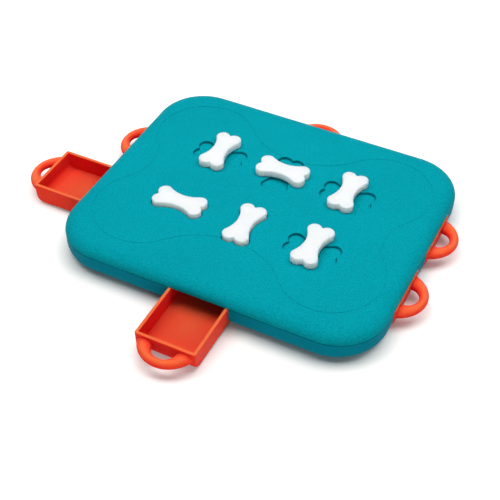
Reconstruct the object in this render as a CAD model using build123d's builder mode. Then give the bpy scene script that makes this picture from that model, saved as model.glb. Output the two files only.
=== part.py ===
"""Interactive dog toy: a treat board with six locking drawers. Millimetres, +Z up, resting face at Z = 0."""
import os
from math import atan2, cos, degrees, sin

from build123d import *

os.makedirs("parts", exist_ok=True)

# Board outline and edge
board_length = 339.0
board_width = 281.5
corner_radius = 52.0
edge_run = 15.2
edge_rise = 10.9
shell_wall = 2.8
base_wall = 2.6
base_floor = 2.4
base_lean = 0.5
base_edge_round = 12.5
shadow_gap = 0.8
shadow_depth = 1.2

# Places of the knobs: side columns from the centre column, and one row from the other
column_spacing = 72.4
row_spacing = 87.3

# Drawers
drawer_width = 62.7
drawer_height = 20.3
drawer_wall = 3.2
tray_floor = 2.0
tray_round = 2.0
front_proud = 1.2
front_lean = 0.9
front_corner_round = 2.2
front_edge_round = 9.5
rim_round = 0.5
skirt_run = 19.0
skirt_rise = 1.8
ear_width = 1.6
ear_length = 4.0
lock_play = 3.2
loop_span = 58.8
loop_reach = 21.4
loop_root_width = 18.0
loop_root_thickness = 10.8
loop_width = 8.8
loop_thickness = 8.2
loop_drop = 8.6
loop_root = 1.4
front_drawer_open = 61.6
left_drawer_open = 57.0
travel_spare = 8.4

# Knobs, their locks and their recesses
bone_length = 54.0
bone_end_width = 27.4
bone_waist = 16.4
bone_lobe_radius = 7.2
bone_notch = 3.0
bone_thickness = 7.8
bone_round = 0.9
bone_foot_round = 0.5
bone_drop = 2.8
bone_float = 0.3
recess_margin = 0.8
recess_round = 0.4
stem_diameter = 7.0
tenon_side = 4.6
wing_length = 30.0
wing_width = 7.0
wing_thickness = 2.4
seat_wall = 2.4
sleeve_wall = 2.4
notch_margin = 0.6
wing_screw_shank = 2.2
wing_screw_head = 5.6
wing_screw_head_height = 1.4
wing_screw_grip = 6.5

# Moulded line on the top: a large bone outline
line_length = 307.0
line_end_width = 234.0
line_waist = 138.5
line_lobe_radius = 52.4
line_notch = 23.0
line_width = 1.6
line_depth = 0.2

# Case screws, foot pads and inner ribs
case_screw_inset = 48.0
case_screw_shank = 3.0
case_screw_head = 6.0
case_screw_head_height = 2.2
case_screw_sink = 7.0
case_screw_grip = 6.0
case_post_diameter = 9.0
foot_inset = 32.0
foot_diameter = 14.0
foot_depth = 1.0
foot_proud = 0.6
rib_width = 1.8
guide_width = 2.4
bay_stop_length = 22.0
bay_stop_height = 10.0

# Outward angles of the four sides, and a quarter turn
left_angle = 180
right_angle = 0
front_angle = -90
back_angle = 90
quarter_angle = 90

# Places of the loop's cross-sections along its arc
loop_section_shares = (0, 0.5, 1)

# Clearances and the overrun of every cut
slide_gap = 0.3
side_gap = 0.5
rim_gap = 0.4
turn_gap = 0.3
screw_gap = 0.12
stop_gap = 0.4
overrun = 5.0

# Heights that follow
tray_bottom = base_floor + slide_gap
rim_height = tray_bottom + drawer_height
parting_height = rim_height + rim_gap
board_height = parting_height + edge_rise
shell_underside = board_height - shell_wall
recess_floor = board_height - bone_drop
seat_bottom = recess_floor - seat_wall
skirt_bottom = tray_bottom - skirt_rise
wing_bottom = rim_height + rim_gap
wing_top = wing_bottom + wing_thickness
sleeve_bottom = wing_top + turn_gap
bone_bottom = board_height + bone_float
head_bottom = wing_bottom - wing_screw_head_height
loop_height = rim_height - loop_drop

# Lengths that follow
half_length = board_length / 2
half_width = board_width / 2
row_y = row_spacing / 2
drawer_travel = max(front_drawer_open, left_drawer_open) + travel_spare
rear_margin = wing_width / 2 + lock_play + drawer_wall
bay_half_width = drawer_width / 2 + side_gap
notch_width = wing_width + 2 * notch_margin
notch_bottom = head_bottom - bone_drop - rim_gap
base_taper = degrees(atan2(base_lean, parting_height))

# Bays: name, side's centre, outward angle, knob's depth from the side, how far the drawer stands open
side_depth = half_length - column_spacing
end_depth = half_width - row_y
bays = {
    "left_back": (-half_length, row_y, left_angle, side_depth, 0),
    "left_front": (-half_length, -row_y, left_angle, side_depth, left_drawer_open),
    "right_back": (half_length, row_y, right_angle, side_depth, 0),
    "right_front": (half_length, -row_y, right_angle, side_depth, 0),
    "front": (0, -half_width, front_angle, end_depth, front_drawer_open),
    "back": (0, half_width, back_angle, end_depth, 0),
}
sunk_knobs = ("left_front", "front")


def bay_frame(bay):
    """The bay's own frame: origin on the board's side at floor level, X pointing out of the board."""
    x, y, angle, depth, opened = bays[bay]
    return Location((x, y, 0), (0, 0, angle))


def bone_outline(length, end_width, waist, lobe, notch):
    """One closed outline of eight tangent arcs: four lobes, two waists and two end notches."""
    a, b = length / 2 - lobe, end_width / 2 - lobe
    w, e = waist / 2, length / 2 - notch
    waist_radius = (a**2 + (w - b) ** 2 - lobe**2) / (2 * (lobe - w + b))
    notch_radius = ((e - a) ** 2 + b**2 - lobe**2) / (2 * (lobe - e + a))
    waist_angle = atan2(w + waist_radius - b, -a)
    notch_angle = atan2(-b, e + notch_radius - a)
    outer_angle = (waist_angle + notch_angle) / 2
    waist_end = (a + lobe * cos(waist_angle), b + lobe * sin(waist_angle))
    notch_end = (a + lobe * cos(notch_angle), b + lobe * sin(notch_angle))
    lobe_end = (a + lobe * cos(outer_angle), b + lobe * sin(outer_angle))
    with BuildSketch() as outline:
        with BuildLine():
            for sx in (1, -1):
                for sy in (1, -1):
                    ThreePointArc(*[(sx * x, sy * y) for x, y in (waist_end, lobe_end, notch_end)])
            for s in (1, -1):
                ThreePointArc((-waist_end[0], s * waist_end[1]), (0, s * w), (waist_end[0], s * waist_end[1]))
                ThreePointArc((s * notch_end[0], notch_end[1]), (s * e, 0), (s * notch_end[0], -notch_end[1]))
        make_face()
    return outline.sketch


def knob_outline(margin):
    """The knob's outline, widened all round by a margin."""
    length, end_width, waist = (size + 2 * margin for size in (bone_length, bone_end_width, bone_waist))
    return bone_outline(length, end_width, waist, bone_lobe_radius + margin, bone_notch)


# Screw places: four between the side bays and the long sides, two on the centre line between the bays
corner_screw_x = half_length - case_screw_inset
corner_screw_y = (row_y + bay_half_width + half_width) / 2
corner_spots = [(sx * corner_screw_x, sy * corner_screw_y) for sx in (1, -1) for sy in (1, -1)]
centre_screw_x = (drawer_width / 2 + ear_width + column_spacing - rear_margin) / 2
screw_spots = corner_spots + [(centre_screw_x, 0), (-centre_screw_x, 0)]
foot_spots = [
    (sx * (half_length - foot_inset), sy * (half_width - foot_inset)) for sx in (1, -1) for sy in (1, -1)
]

# Top shell: rounded rim swept round the flat, closed by the top plate
flat_x = half_length - edge_run
flat_y = half_width - edge_run
flat_radius = corner_radius - edge_run
straight_x = flat_x - flat_radius
straight_y = flat_y - flat_radius
seat_margin = recess_margin + seat_wall
seat_length, seat_width = (size + 2 * seat_margin for size in (bone_length, bone_end_width))
rib_y = (drawer_width - drawer_wall) / 2
with BuildPart() as top_shell:
    with BuildLine() as rim_path:
        leg = Line((flat_x, 0), (flat_x, straight_y))
        for run in (straight_x, straight_y, straight_x, straight_y / 2):
            turn = JernArc(start=leg @ 1, tangent=leg % 1, radius=flat_radius, arc_size=quarter_angle)
            leg = Line(turn @ 1, turn @ 1 + (turn % 1) * 2 * run)
    with BuildSketch(Plane.XZ):
        with BuildLine():
            outer = EllipticalCenterArc((flat_x, parting_height), edge_run, edge_rise, arc_size=quarter_angle)
            inner = EllipticalCenterArc(
                (flat_x, parting_height),
                edge_run - shell_wall,
                edge_rise - shell_wall,
                arc_size=quarter_angle,
            )
            Line(outer @ 1, inner @ 1)
            Line(outer @ 0, inner @ 0)
        make_face()
    sweep(path=rim_path.wire())
    with BuildSketch(Plane.XY.offset(shell_underside)):
        RectangleRounded(2 * flat_x, 2 * flat_y, flat_radius)
    extrude(amount=shell_wall)
    with BuildSketch(Plane.XY.offset(seat_bottom)):
        for bay, (x, y, angle, depth, opened) in bays.items():
            with Locations(bay_frame(bay)):
                with Locations((-depth, 0)):
                    RectangleRounded(seat_length, seat_width, bone_lobe_radius + seat_margin)
    extrude(until=Until.NEXT)
    with BuildSketch(Plane.XY.offset(sleeve_bottom)):
        for bay, (x, y, angle, depth, opened) in bays.items():
            with Locations(bay_frame(bay)):
                with Locations((-depth, 0)):
                    Circle(stem_diameter / 2 + turn_gap + sleeve_wall)
    extrude(amount=recess_floor - sleeve_bottom)
    with BuildSketch(Plane.XY.offset(parting_height)):
        for bay, (x, y, angle, depth, opened) in bays.items():
            rib_start = depth + rear_margin
            rib_length = rib_start - edge_run
            with Locations(bay_frame(bay)):
                with Locations(*[(rib_length / 2 - rib_start, s * rib_y) for s in (1, -1)]):
                    Rectangle(rib_length, rib_width)
        with Locations(*screw_spots):
            Circle(case_post_diameter / 2)
    extrude(amount=shell_underside - parting_height)
    with BuildSketch(Plane.XY.offset(recess_floor)):
        for bay, (x, y, angle, depth, opened) in bays.items():
            with Locations(bay_frame(bay)):
                with Locations((-depth, 0)):
                    add(knob_outline(recess_margin))
    extrude(amount=bone_drop + overrun, mode=Mode.SUBTRACT)
    top_face = top_shell.faces().sort_by(Axis.Z)[-1]
    fillet([edge for wire in top_face.inner_wires() for edge in wire.edges()], recess_round)
    with BuildSketch(Plane.XY.offset(sleeve_bottom - overrun)):
        for bay, (x, y, angle, depth, opened) in bays.items():
            with Locations(bay_frame(bay)):
                with Locations((-depth, 0)):
                    Circle(stem_diameter / 2 + turn_gap)
    extrude(amount=board_height - sleeve_bottom + overrun, mode=Mode.SUBTRACT)
    with BuildSketch(Plane.XY.offset(parting_height - overrun)):
        with Locations(*screw_spots):
            Circle(case_screw_shank / 2 + screw_gap)
    extrude(amount=overrun + case_screw_grip + 2 * screw_gap, mode=Mode.SUBTRACT)
    with BuildSketch(Plane.XY.offset(board_height - line_depth)):
        add(bone_outline(line_length, line_end_width, line_waist, line_lobe_radius, line_notch))
        inner_sizes = [size - 2 * line_width for size in (line_length, line_end_width, line_waist)]
        inner_lobe = line_lobe_radius - line_width
        add(bone_outline(*inner_sizes, inner_lobe, line_notch), mode=Mode.SUBTRACT)
    extrude(amount=line_depth + overrun, mode=Mode.SUBTRACT)
top_shell.part.label = "top_shell"
export_step(top_shell.part, "parts/top_shell.step")

# Base: drafted tray with a rounded lower edge, a shadow gap under the shell, six openings, drawer guides,
# stops, screw posts and pad seats
foot_x = board_length - 2 * base_lean
foot_y = board_width - 2 * base_lean
foot_radius = corner_radius - base_lean
with BuildPart() as hollow:
    with BuildSketch(Plane.XY.offset(base_floor)):
        RectangleRounded(foot_x - 2 * base_wall, foot_y - 2 * base_wall, foot_radius - base_wall)
    extrude(amount=parting_height - base_floor + overrun)
    fillet(hollow.faces().sort_by(Axis.Z)[0].edges(), base_edge_round - base_floor)
    with BuildSketch(Plane.XY.offset(base_floor)):
        for bay, (x, y, angle, depth, opened) in bays.items():
            guide_end = depth + rear_margin - ear_length - drawer_travel - stop_gap
            with Locations(bay_frame(bay)):
                with Locations(*[(-guide_end / 2, s * (bay_half_width + guide_width / 2)) for s in (1, -1)]):
                    Rectangle(guide_end, guide_width)
        with Locations(*screw_spots):
            Circle(case_post_diameter / 2)
    extrude(amount=parting_height - base_floor + overrun, mode=Mode.SUBTRACT)
    with BuildSketch(Plane.XY.offset(base_floor)):
        for bay, (x, y, angle, depth, opened) in bays.items():
            with Locations(bay_frame(bay)):
                with Locations((-(depth + rear_margin + stop_gap + guide_width / 2), 0)):
                    Rectangle(guide_width, bay_stop_length)
    extrude(amount=bay_stop_height, mode=Mode.SUBTRACT)
with BuildPart() as base:
    with BuildSketch():
        RectangleRounded(foot_x, foot_y, foot_radius)
    extrude(amount=parting_height, taper=-base_taper)
    fillet(base.faces().sort_by(Axis.Z)[0].edges(), base_edge_round)
    with BuildSketch(Plane.XY.offset(parting_height - shadow_gap)):
        RectangleRounded(board_length + 2 * overrun, board_width + 2 * overrun, corner_radius + overrun)
        lip_length, lip_width = (size - 2 * shadow_depth for size in (board_length, board_width))
        RectangleRounded(lip_length, lip_width, corner_radius - shadow_depth, mode=Mode.SUBTRACT)
    extrude(amount=shadow_gap + overrun, mode=Mode.SUBTRACT)
    add(hollow.part, mode=Mode.SUBTRACT)
    with BuildSketch(Plane.XY.offset(-overrun)):
        for bay in bays:
            with Locations(bay_frame(bay)):
                with Locations(((overrun - skirt_run - stop_gap) / 2, 0)):
                    Rectangle(skirt_run + stop_gap + overrun, 2 * bay_half_width)
    extrude(amount=parting_height + 2 * overrun, mode=Mode.SUBTRACT)
    with BuildSketch(Plane.XY.offset(-overrun)):
        with Locations(*screw_spots):
            Circle(case_screw_head / 2 + screw_gap)
    extrude(amount=overrun + case_screw_sink + case_screw_head_height, mode=Mode.SUBTRACT)
    with BuildSketch(Plane.XY.offset(-overrun)):
        with Locations(*screw_spots):
            Circle(case_screw_shank / 2 + screw_gap)
    extrude(amount=2 * overrun + parting_height, mode=Mode.SUBTRACT)
    with BuildSketch(Plane.XY.offset(foot_depth)):
        with Locations(*foot_spots):
            Circle(foot_diameter / 2 + screw_gap)
    extrude(amount=-(foot_depth + overrun), mode=Mode.SUBTRACT)
base.part.label = "base"
export_step(base.part, "parts/base.step")


def make_loop():
    """The loop handle: an oval bar on an arc, thick at both roots in the front and thin at its middle."""
    half_span = (loop_span - loop_root_width) / 2
    crown = loop_reach - loop_width / 2
    with BuildPart() as loop:
        with BuildLine(Plane.XY.offset(loop_height)) as arc:
            ThreePointArc((-loop_root, -half_span), (crown, 0), (-loop_root, half_span))
        for share in loop_section_shares:
            swell = abs(2 * share - 1)
            with BuildSketch(Plane(origin=arc.line @ share, x_dir=(0, 0, 1), z_dir=arc.line % share)):
                half_thickness = (loop_thickness + (loop_root_thickness - loop_thickness) * swell) / 2
                half_bar = (loop_width + (loop_root_width - loop_width) * swell) / 2
                Ellipse(half_thickness, half_bar)
        sweep(path=arc.wire(), multisection=True)
    return loop.part


def make_drawer(bay):
    """One drawer at its photographed place: tray with a skirt, stop ears, lock notch and loop handle."""
    x, y, angle, depth, opened = bays[bay]
    drawer_length = depth + rear_margin
    inner_floor = tray_bottom + tray_floor
    slope = front_lean / (rim_height - skirt_bottom)
    inner_toe = front_proud - drawer_wall - slope * (rim_height - inner_floor)
    with BuildPart() as tray:
        with BuildSketch(Plane.XZ) as side:
            with BuildLine():
                Polyline(
                    (-drawer_length, tray_bottom),
                    (-skirt_run, tray_bottom),
                    (-skirt_run, skirt_bottom),
                    (front_proud - front_lean, skirt_bottom),
                    (front_proud, rim_height),
                    (-drawer_length, rim_height),
                    close=True,
                )
            make_face()
            fillet(side.vertices().group_by(Axis.Y)[0].sort_by(Axis.X)[-1], front_edge_round)
        extrude(amount=drawer_width / 2, both=True)
        fillet(tray.edges().filter_by(Axis.Y, reverse=True).group_by(Axis.X)[-1], front_corner_round)
        with BuildSketch(Plane.XY.offset(tray_bottom)):
            with Locations((ear_length / 2 - drawer_length, 0)):
                Rectangle(ear_length, drawer_width + 2 * ear_width)
        extrude(amount=drawer_height)
        add(make_loop())
        with BuildSketch(Plane.XZ) as cavity:
            with BuildLine():
                Polyline(
                    (drawer_wall - drawer_length, inner_floor),
                    (inner_toe, inner_floor),
                    (front_proud - drawer_wall + slope * overrun, rim_height + overrun),
                    (drawer_wall - drawer_length, rim_height + overrun),
                    close=True,
                )
            make_face()
            fillet(cavity.vertices().group_by(Axis.Y)[0].sort_by(Axis.X)[0], tray_round)
            fillet(cavity.vertices().group_by(Axis.Y)[0].sort_by(Axis.X)[-1], front_edge_round - drawer_wall)
        extrude(amount=drawer_width / 2 - drawer_wall, both=True, mode=Mode.SUBTRACT)
        fillet(tray.faces().sort_by(Axis.Z)[-1].edges(), rim_round)
        with BuildSketch(Plane.XY.offset(notch_bottom)):
            with Locations((-drawer_length, 0)):
                Rectangle(2 * drawer_wall + overrun, notch_width)
        extrude(amount=rim_height - notch_bottom + overrun, mode=Mode.SUBTRACT)
    with BuildPart() as drawer:
        with Locations(bay_frame(bay)):
            with Locations((opened, 0)):
                add(tray.part)
    drawer.part.label = bay + "_drawer"
    export_step(drawer.part, "parts/" + bay + "_drawer.step")


def make_knob(bay):
    """One knob, its lock wing and its screw: sunk and lengthwise, or raised and crosswise."""
    x, y, angle, depth, opened = bays[bay]
    sunk = bay in sunk_knobs
    drop, turn = (bone_drop, 0) if sunk else (0, quarter_angle)
    place = bay_frame(bay) * Location((-depth, 0, -drop), (0, 0, turn))
    with BuildPart() as bone:
        with BuildSketch(Plane.XY.offset(bone_bottom)):
            add(knob_outline(0))
        extrude(amount=bone_thickness)
        fillet(bone.faces().sort_by(Axis.Z)[-1].edges(), bone_round)
        fillet(bone.faces().sort_by(Axis.Z)[0].edges(), bone_foot_round)
        with BuildSketch(Plane.XY.offset(wing_top)):
            Circle(stem_diameter / 2)
        extrude(amount=bone_bottom - wing_top)
        with BuildSketch(Plane.XY.offset(wing_bottom + screw_gap)):
            Rectangle(tenon_side, tenon_side)
        extrude(amount=wing_thickness - screw_gap)
        with BuildSketch(Plane.XY.offset(wing_bottom)):
            Circle(wing_screw_shank / 2 + screw_gap)
        extrude(amount=wing_screw_grip + 2 * screw_gap, mode=Mode.SUBTRACT)
    with BuildPart() as wing:
        with BuildSketch(Plane.XY.offset(wing_bottom)):
            SlotOverall(wing_length, wing_width)
            Rectangle(tenon_side + 2 * screw_gap, tenon_side + 2 * screw_gap, mode=Mode.SUBTRACT)
        extrude(amount=wing_thickness)
    with BuildPart() as screw:
        with BuildSketch(Plane.XY.offset(head_bottom)):
            Circle(wing_screw_head / 2)
        extrude(amount=wing_screw_head_height)
        fillet(screw.faces().sort_by(Axis.Z)[0].edges(), wing_screw_head_height / 2)
        with BuildSketch(Plane.XY.offset(wing_bottom)):
            Circle(wing_screw_shank / 2)
        extrude(amount=wing_screw_grip)
    for name, solid in (("_bone", bone), ("_lock_wing", wing), ("_wing_screw", screw)):
        with BuildPart() as piece:
            with Locations(place):
                add(solid.part)
        piece.part.label = bay + name
        export_step(piece.part, "parts/" + bay + name + ".step")


for bay_name in bays:
    make_drawer(bay_name)
    make_knob(bay_name)

# Case screws, heads sunk in the base, shanks in the shell's posts
with BuildPart() as case_screws:
    with BuildSketch(Plane.XY.offset(case_screw_sink)):
        with Locations(*screw_spots):
            Circle(case_screw_head / 2)
    extrude(amount=case_screw_head_height)
    with BuildSketch(Plane.XY.offset(case_screw_sink + case_screw_head_height)):
        with Locations(*screw_spots):
            Circle(case_screw_shank / 2)
    extrude(amount=parting_height + case_screw_grip - case_screw_sink - case_screw_head_height)
case_screws.part.label = "case_screws"
export_step(case_screws.part, "parts/case_screws.step")

# Rubber pads seated in the underside
with BuildPart() as foot_pads:
    with BuildSketch(Plane.XY.offset(-foot_proud)):
        with Locations(*foot_spots):
            Circle(foot_diameter / 2)
    extrude(amount=foot_proud + foot_depth)
foot_pads.part.label = "foot_pads"
export_step(foot_pads.part, "parts/foot_pads.step")
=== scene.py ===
"""Looks of the interactive dog toy: materials, floor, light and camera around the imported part."""

import bpy
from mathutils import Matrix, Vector


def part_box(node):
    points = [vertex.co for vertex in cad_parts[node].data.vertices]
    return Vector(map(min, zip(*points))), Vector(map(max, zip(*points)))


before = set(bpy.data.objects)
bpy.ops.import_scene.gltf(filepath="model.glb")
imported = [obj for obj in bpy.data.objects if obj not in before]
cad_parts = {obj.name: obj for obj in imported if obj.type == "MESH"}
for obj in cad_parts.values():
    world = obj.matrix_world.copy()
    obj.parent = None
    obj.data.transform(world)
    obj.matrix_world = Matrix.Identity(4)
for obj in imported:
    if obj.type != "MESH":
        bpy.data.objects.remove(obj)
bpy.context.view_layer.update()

scene = bpy.context.scene
board_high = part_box("top_shell")[1]
floor_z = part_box("foot_pads")[0].z

WHITE = (1.0, 1.0, 1.0)
BLACK = (0.0, 0.0, 0.0)

# Places of the colour sockets on Blender's Mix node
MIX_SHARE, MIX_FIRST, MIX_SECOND, MIX_RESULT = 0, 6, 7, 2

# Most values of a noise lie between these two
NOISE_LOW, NOISE_HIGH = 0.30, 0.70

# Ambient occlusion: rays for each sample, and reach in metres for whole hollows and for narrow corners
OCCLUSION_RAYS = 32
HOLLOW_REACH, CREVICE_REACH = 0.060, 0.004

# Teal shell and base: colour, strength of the grain, mean roughness and specular level
SHELL_TONE = (0.0010, 0.328, 0.399)
SHELL_GRIT, SHELL_ROUGHNESS, SHELL_SHINE = 0.9, 0.55, 0.02
# The base's tone is darker and bluer than the shell's: partly a bluer tone of its own, partly painted
# shade for its upright sides
BASE_TONE_AND_SHADE = (0.0004, 0.240, 0.340)
BASE_GRIT, BASE_ROUGHNESS, BASE_SHINE = 0.35, 0.46, 0.012

# Teal in common: noise levels with the tone's change at full grit, flecks, mottling and painted shade in
# narrow corners
GRAIN_SHARES = ((0.30, -0.30), (0.50, 0.0), (0.72, 0.26))
FLECK_START, FLECK_FULL, FLECK_COVER_SHARE = 0.64, 0.76, 0.34
FLECK_ADDED_RED, FLECK_GREEN_SHARE, FLECK_BLUE_SHARE = 0.05, 1.45, 1.35
TEAL_MOTTLE = ((0.32, (0.92, 0.935, 0.945)), (0.68, WHITE))
TEAL_PAINTED_CREVICE_SHADE = ((0.45, (0.42, 0.47, 0.49)), (0.80, WHITE))
TEAL_ROUGHNESS_SPREAD = 0.07
TEAL_SHINE_TINT = (0.02, 0.80, 0.96, 1.0)
PIT_STRENGTH = 0.30

# Orange drawers, with painted shade and a painted highlight: deep in a hollow, plain on a side and paler
# on a free top face
ORANGE_PAINTED_LIGHT_TONES = (
    (0.25, (0.740, 0.022, 0.024)),
    (0.50, (0.940, 0.060, 0.031)),
    (0.80, (0.960, 0.088, 0.036)),
    (1.00, (0.990, 0.190, 0.068)),
)
ORANGE_STREAK = (0.95, 0.88, 0.88)
ORANGE_GRAIN = (0.94, 0.93, 0.93)
ORANGE_SKIN = {
    "Subsurface Weight": 0.90,
    "Subsurface Radius": (1.0, 0.25, 0.10),
    "Subsurface Scale": 0.008,
    "Specular IOR Level": 0.03,
    "Specular Tint": (1.0, 0.80, 0.55, 1.0),
}

# White knobs and lock wings
WHITE_DARKER, WHITE_PALER = (0.930, 0.918, 0.893), (0.970, 0.953, 0.933)
WHITE_SKIN = {
    "Subsurface Weight": 0.90,
    "Subsurface Radius": (1.0, 0.87, 0.70),
    "Subsurface Scale": 0.013,
    "Specular IOR Level": 0.30,
}

# Steel screws and rubber pads
STEEL_DARKER, STEEL_PALER = (0.46, 0.46, 0.47), (0.62, 0.62, 0.63)
STEEL_SKIN = {"Metallic": 1.0}
RUBBER_DARKER, RUBBER_PALER = (0.022, 0.023, 0.024), (0.040, 0.041, 0.043)
RUBBER_SKIN = {"Specular IOR Level": 0.30}

# Floor: its size, what it gives back to the object and how it looks
FLOOR_SIZE = 8.0
FLOOR_BOUNCE = (0.90, 0.89, 0.86)
FLOOR_COLOUR = (0.97, 0.965, 0.95)

# Floor's lift to white with metres from the board's rounded outline, sooner at the left and right
BOARD_CORNER = 0.052
FLOOR_STRETCH = (1.5, 1.0, 1.0)
FLOOR_REACH = 1.6
FLOOR_LIFT = ((0.0, 0.0), (0.008, 0.02), (0.025, 0.11), (0.05, 0.21), (1.0, 0.95))

# Lamps in metres and watts; the key's small shift to the left also turns its long side
KEY_PLACE, KEY_SIZE, KEY_POWER = (-0.04, 0.10, 1.33), (2.30, 0.80), 25.4
BACK_PLACE, BACK_SIZE, BACK_POWER = (-0.52, 0.98, 0.98), (0.45, 0.45), 0.8
FILL_PLACE, FILL_SIZE, FILL_POWER = (0.62, -1.30, 0.34), (0.90, 0.60), 3.8
FILL_COLOUR = (1.0, 0.94, 0.86)
LAMP_AIM, FILL_AIM = (0.0, 0.0, 0.0), (0.0, 0.0, 0.02)

# Dim light from all round
WORLD_LIGHT = (0.070, 0.068, 0.063)

# Camera at the photograph's viewing angle: millimetres for lens and sensor, metres, and radians
CAMERA_LENS, CAMERA_SENSOR = 77.556, 36.0
CAMERA_REACH = 50.0
CAMERA_X, CAMERA_Y, CAMERA_ABOVE_TOP = 0.343323, -0.736170, 0.715390
CAMERA_TURN = (0.8016414, -0.0078763, 0.4607300)


# Node helpers
def empty_material(name):
    """A material with nothing but its output."""
    material = bpy.data.materials.new(name)
    material.use_nodes = True
    tree = material.node_tree
    tree.nodes.clear()
    return material, tree, tree.nodes.new("ShaderNodeOutputMaterial")


def new_material(name):
    """A material with its Principled shader and the object's own coordinates."""
    material, tree, out = empty_material(name)
    skin = tree.nodes.new("ShaderNodeBsdfPrincipled")
    tree.links.new(skin.outputs["BSDF"], out.inputs["Surface"])
    coords = tree.nodes.new("ShaderNodeTexCoord").outputs["Object"]
    return material, tree, skin, coords


def set_sockets(skin, values):
    """Sets what is the same all over a surface on the shader's own sockets."""
    for name, value in values.items():
        skin.inputs[name].default_value = value


def noise(tree, coords, scale, detail=2.0, roughness=0.5, distortion=0.0):
    """Noise in the object's coordinates, with its scale per metre."""
    node = tree.nodes.new("ShaderNodeTexNoise")
    node.inputs["Scale"].default_value = scale
    node.inputs["Detail"].default_value = detail
    node.inputs["Roughness"].default_value = roughness
    node.inputs["Distortion"].default_value = distortion
    tree.links.new(coords, node.inputs["Vector"])
    return node.outputs["Fac"]


def grey(level):
    """A neutral colour of one level."""
    return (level, level, level)


def ramp(tree, value, stops):
    """A colour ramp through (position, colour) stops."""
    node = tree.nodes.new("ShaderNodeValToRGB")
    elements = node.color_ramp.elements
    while len(elements) < len(stops):
        elements.new(stops[-1][0])
    for element, (position, colour) in zip(elements, stops):
        element.position = position
        element.color = (*colour, 1.0)
    tree.links.new(value, node.inputs["Fac"])
    return node.outputs["Color"]


def between(tree, pattern, low_colour, high_colour):
    """A colour that follows a noise pattern's middle range."""
    return ramp(tree, pattern, ((NOISE_LOW, low_colour), (NOISE_HIGH, high_colour)))


def mix(tree, mode, share, first, second):
    """Mixes two colours; share, first and second are each a socket or a plain value."""
    node = tree.nodes.new("ShaderNodeMix")
    node.data_type = "RGBA"
    node.blend_type = mode
    for place, value in ((MIX_SHARE, share), (MIX_FIRST, first), (MIX_SECOND, second)):
        socket = node.inputs[place]
        if isinstance(value, bpy.types.NodeSocket):
            tree.links.new(value, socket)
        elif isinstance(value, tuple):
            socket.default_value = (*value, 1.0)
        else:
            socket.default_value = value
    return node.outputs[MIX_RESULT]


def multiply(tree, first, second):
    """One colour times another."""
    return mix(tree, "MULTIPLY", 1.0, first, second)


def span(tree, value, from_low, from_high, to_low, to_high):
    """Maps one range of a value onto another."""
    node = tree.nodes.new("ShaderNodeMapRange")
    limits = {"From Min": from_low, "From Max": from_high, "To Min": to_low, "To Max": to_high}
    for key, limit in limits.items():
        node.inputs[key].default_value = limit
    tree.links.new(value, node.inputs["Value"])
    return node.outputs["Result"]


def set_roughness(tree, skin, pattern, at_low, at_high):
    """Roughness that follows a noise pattern's middle range."""
    value = span(tree, pattern, NOISE_LOW, NOISE_HIGH, at_low, at_high)
    tree.links.new(value, skin.inputs["Roughness"])


def bump(tree, height, strength, distance, below=None):
    """Bump from a height, laid over another bump where one is given."""
    node = tree.nodes.new("ShaderNodeBump")
    node.inputs["Strength"].default_value = strength
    node.inputs["Distance"].default_value = distance
    tree.links.new(height, node.inputs["Height"])
    if below is not None:
        tree.links.new(below, node.inputs["Normal"])
    return node.outputs["Normal"]


def value_step(tree, operation, first, second):
    """One operation on two value sockets."""
    node = tree.nodes.new("ShaderNodeMath")
    node.operation = operation
    tree.links.new(first, node.inputs[0])
    tree.links.new(second, node.inputs[1])
    return node.outputs[0]


def vector_step(tree, operation, first, second=None):
    """One vector operation on a socket, with a plain vector where it takes two."""
    node = tree.nodes.new("ShaderNodeVectorMath")
    node.operation = operation
    tree.links.new(first, node.inputs[0])
    if second is not None:
        node.inputs[1].default_value = second
    return node


def openness(tree, reach):
    """One on a free face and less in a hollow of the piece itself, within a reach in metres."""
    node = tree.nodes.new("ShaderNodeAmbientOcclusion")
    node.only_local = True
    node.samples = OCCLUSION_RAYS
    node.inputs["Distance"].default_value = reach
    return node.outputs["AO"]


def upwardness(tree):
    """One on a face that points up, a half on an upright one and zero underneath."""
    facing = tree.nodes.new("ShaderNodeSeparateXYZ")
    tree.links.new(tree.nodes.new("ShaderNodeTexCoord").outputs["Normal"], facing.inputs[0])
    return span(tree, facing.outputs["Z"], -1.0, 1.0, 0.0, 1.0)


def background_rays(tree):
    """One for the rays that see the background: the camera's, and those of gloss and glass."""
    path = tree.nodes.new("ShaderNodeLightPath")
    seen = path.outputs["Is Camera Ray"]
    for ray in ("Is Glossy Ray", "Is Transmission Ray"):
        seen = value_step(tree, "MAXIMUM", seen, path.outputs[ray])
    return seen


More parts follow.
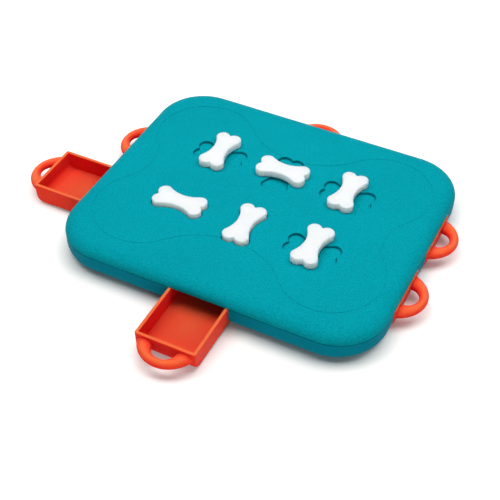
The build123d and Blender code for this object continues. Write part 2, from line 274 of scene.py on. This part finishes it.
# Materials
def teal_composite(name, tone, grit, mean_roughness, shine):
    """Moulded composite: sandy grain, pale flecks, slow mottling, painted shade in narrow corners and a
    satin skin.
    """
    material, tree, skin, coords = new_material(name)
    grain = noise(tree, coords, scale=900.0, roughness=0.6)
    tones = [(level, tuple(part * (1.0 + grit * share) for part in tone)) for level, share in GRAIN_SHARES]
    colour = ramp(tree, grain, tones)
    speckle = noise(tree, coords, scale=1500.0, detail=1.0, roughness=0.4)
    fleck = ramp(tree, speckle, ((FLECK_START, BLACK), (FLECK_FULL, grey(FLECK_COVER_SHARE * grit))))
    red, green, blue = tone
    fleck_tone = (red + FLECK_ADDED_RED, FLECK_GREEN_SHARE * green, FLECK_BLUE_SHARE * blue)
    colour = mix(tree, "MIX", fleck, colour, fleck_tone)
    mottle = noise(tree, coords, scale=16.0, detail=3.0)
    colour = multiply(tree, colour, ramp(tree, mottle, TEAL_MOTTLE))
    # Painted shade: darker within a few millimetres of the piece's own corners, recess walls and grooves
    painted_crevice_shade = ramp(tree, openness(tree, CREVICE_REACH), TEAL_PAINTED_CREVICE_SHADE)
    tree.links.new(multiply(tree, colour, painted_crevice_shade), skin.inputs["Base Color"])
    rougher, smoother = mean_roughness + TEAL_ROUGHNESS_SPREAD, mean_roughness - TEAL_ROUGHNESS_SPREAD
    set_roughness(tree, skin, grain, at_low=rougher, at_high=smoother)
    set_sockets(skin, {"Specular IOR Level": shine, "Specular Tint": TEAL_SHINE_TINT})
    pits = noise(tree, coords, scale=1300.0, detail=3.0, roughness=0.65)
    pitted = bump(tree, pits, strength=PIT_STRENGTH * grit, distance=0.00016)
    waves = noise(tree, coords, scale=95.0)
    wavy = bump(tree, waves, strength=0.10, distance=0.0008, below=pitted)
    tree.links.new(wavy, skin.inputs["Normal"])
    return material


def orange_plastic():
    """Satin moulded plastic: painted shade in hollows and on sides, a painted highlight on free top faces,
    slow flow streaks and a fine skin.
    """
    material, tree, skin, coords = new_material("orange_plastic")
    # Painted shade and painted highlight: occlusion times upward facing picks a darker tone in hollows and
    # underneath and a paler one on free top faces
    free = value_step(tree, "MULTIPLY", openness(tree, HOLLOW_REACH), upwardness(tree))
    flow = noise(tree, coords, scale=28.0, detail=3.0, distortion=0.6)
    colour = multiply(tree, ramp(tree, free, ORANGE_PAINTED_LIGHT_TONES), between(tree, flow, ORANGE_STREAK, WHITE))
    grain = noise(tree, coords, scale=700.0, roughness=0.6)
    colour = multiply(tree, colour, between(tree, grain, ORANGE_GRAIN, WHITE))
    tree.links.new(colour, skin.inputs["Base Color"])
    set_roughness(tree, skin, noise(tree, coords, scale=240.0), at_low=0.36, at_high=0.46)
    set_sockets(skin, ORANGE_SKIN)
    pits = noise(tree, coords, scale=1300.0)
    tree.links.new(bump(tree, pits, strength=0.10, distance=0.0001), skin.inputs["Normal"])
    return material


def white_plastic():
    """Plain white moulded plastic with faint mottling, light within its edges and a satin skin."""
    material, tree, skin, coords = new_material("white_plastic")
    mottle = noise(tree, coords, scale=60.0, detail=3.0)
    tree.links.new(between(tree, mottle, WHITE_DARKER, WHITE_PALER), skin.inputs["Base Color"])
    set_roughness(tree, skin, noise(tree, coords, scale=300.0), at_low=0.42, at_high=0.52)
    set_sockets(skin, WHITE_SKIN)
    pits = noise(tree, coords, scale=1100.0)
    tree.links.new(bump(tree, pits, strength=0.08, distance=0.0001), skin.inputs["Normal"])
    return material


def steel():
    """Bright zinc-plated steel with a fine grain."""
    material, tree, skin, coords = new_material("steel")
    plating = noise(tree, coords, scale=500.0, detail=3.0, roughness=0.6)
    tree.links.new(between(tree, plating, STEEL_DARKER, STEEL_PALER), skin.inputs["Base Color"])
    polish = noise(tree, coords, scale=900.0, roughness=0.6)
    set_roughness(tree, skin, polish, at_low=0.22, at_high=0.40)
    set_sockets(skin, STEEL_SKIN)
    marks = noise(tree, coords, scale=1500.0)
    tree.links.new(bump(tree, marks, strength=0.12, distance=0.0001), skin.inputs["Normal"])
    return material


def rubber():
    """Dark matte rubber with a fine pebbled face."""
    material, tree, skin, coords = new_material("rubber")
    bloom = noise(tree, coords, scale=420.0, detail=3.0, roughness=0.6)
    tree.links.new(between(tree, bloom, RUBBER_DARKER, RUBBER_PALER), skin.inputs["Base Color"])
    wear = noise(tree, coords, scale=600.0, roughness=0.6)
    set_roughness(tree, skin, wear, at_low=0.72, at_high=0.88)
    set_sockets(skin, RUBBER_SKIN)
    pebbles = noise(tree, coords, scale=1000.0, roughness=0.6)
    tree.links.new(bump(tree, pebbles, strength=0.30, distance=0.0002), skin.inputs["Normal"])
    return material


shell_teal = teal_composite("teal_composite", SHELL_TONE, SHELL_GRIT, SHELL_ROUGHNESS, SHELL_SHINE)
base_teal = teal_composite("teal_composite_base", BASE_TONE_AND_SHADE, BASE_GRIT, BASE_ROUGHNESS, BASE_SHINE)
orange = orange_plastic()
white = white_plastic()
metal = steel()
pad_rubber = rubber()


def finish_for(name):
    """The material of a node and the record's slot that it stands for."""
    if name == "top_shell":
        return shell_teal, "teal_composite"
    if name == "base":
        return base_teal, "teal_composite"
    if name.endswith("_drawer"):
        return orange, "orange_plastic"
    if name.endswith(("_bone", "_lock_wing")):
        return white, "white_plastic"
    if name == "foot_pads":
        return pad_rubber, "rubber"
    return metal, "steel"


for node_name, node_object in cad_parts.items():
    node_material, node_slot = finish_for(node_name)
    node_object.data.materials.clear()
    node_object.data.materials.append(node_material)


# Floor
def distance_from_board(tree):
    """Metres from the board's rounded outline, stretched, as a share of the floor's reach."""
    straight = (board_high.x - BOARD_CORNER, board_high.y - BOARD_CORNER, 0.0)
    steps = (("ABSOLUTE", None), ("SUBTRACT", straight), ("MAXIMUM", BLACK), ("MULTIPLY", FLOOR_STRETCH))
    place = tree.nodes.new("ShaderNodeNewGeometry").outputs["Position"]
    for step, value in steps:
        place = vector_step(tree, step, place, value).outputs["Vector"]
    away = vector_step(tree, "LENGTH", place).outputs["Value"]
    return span(tree, away, BOARD_CORNER, BOARD_CORNER + FLOOR_REACH, 0.0, 1.0)


def floor_material():
    """Pale matt floor that keeps the shadow near the object and lifts to plain white further off."""
    material, tree, out = empty_material("floor")
    seen = background_rays(tree)
    matt = tree.nodes.new("ShaderNodeBsdfDiffuse")
    tree.links.new(mix(tree, "MIX", seen, FLOOR_BOUNCE, FLOOR_COLOUR), matt.inputs["Color"])
    stops = [(far / FLOOR_REACH, grey(level)) for far, level in FLOOR_LIFT]
    lift = ramp(tree, distance_from_board(tree), stops)
    glow = tree.nodes.new("ShaderNodeEmission")
    tree.links.new(mix(tree, "MIX", seen, BLACK, lift), glow.inputs["Color"])
    both = tree.nodes.new("ShaderNodeAddShader")
    tree.links.new(matt.outputs["BSDF"], both.inputs[0])
    tree.links.new(glow.outputs["Emission"], both.inputs[1])
    tree.links.new(both.outputs["Shader"], out.inputs["Surface"])
    return material


bpy.ops.mesh.primitive_plane_add(size=FLOOR_SIZE, location=(0.0, 0.0, floor_z))
floor = bpy.context.object
floor.name = "floor"
floor.data.materials.append(floor_material())

# Light
world = bpy.data.worlds.new("studio")
scene.world = world
world.use_nodes = True
world_tree = world.node_tree
world_colour = mix(world_tree, "MIX", background_rays(world_tree), WORLD_LIGHT, WHITE)
world_tree.links.new(world_colour, world_tree.nodes["Background"].inputs["Color"])


def lamp(name, place, aim, size, power, colour=WHITE):
    """A soft box of a width and depth that points at a place."""
    light = bpy.data.lights.new(name, "AREA")
    light.shape = "RECTANGLE"
    light.size, light.size_y = size
    light.energy = power
    light.color = colour
    holder = bpy.data.objects.new(name, light)
    scene.collection.objects.link(holder)
    holder.location = place
    holder.rotation_euler = (Vector(aim) - Vector(place)).to_track_quat("-Z", "Y").to_euler()


lamp("key", KEY_PLACE, LAMP_AIM, KEY_SIZE, KEY_POWER)
lamp("back", BACK_PLACE, LAMP_AIM, BACK_SIZE, BACK_POWER)
lamp("fill", FILL_PLACE, FILL_AIM, FILL_SIZE, FILL_POWER, FILL_COLOUR)

# Camera
camera = bpy.data.cameras.new("camera")
camera.sensor_width = CAMERA_SENSOR
camera.lens = CAMERA_LENS
camera.clip_end = CAMERA_REACH
eye = bpy.data.objects.new("camera", camera)
scene.collection.objects.link(eye)
eye.location = (CAMERA_X, CAMERA_Y, board_high.z + CAMERA_ABOVE_TOP)
eye.rotation_euler = CAMERA_TURN
scene.camera = eye
scene.view_settings.view_transform = "Standard"
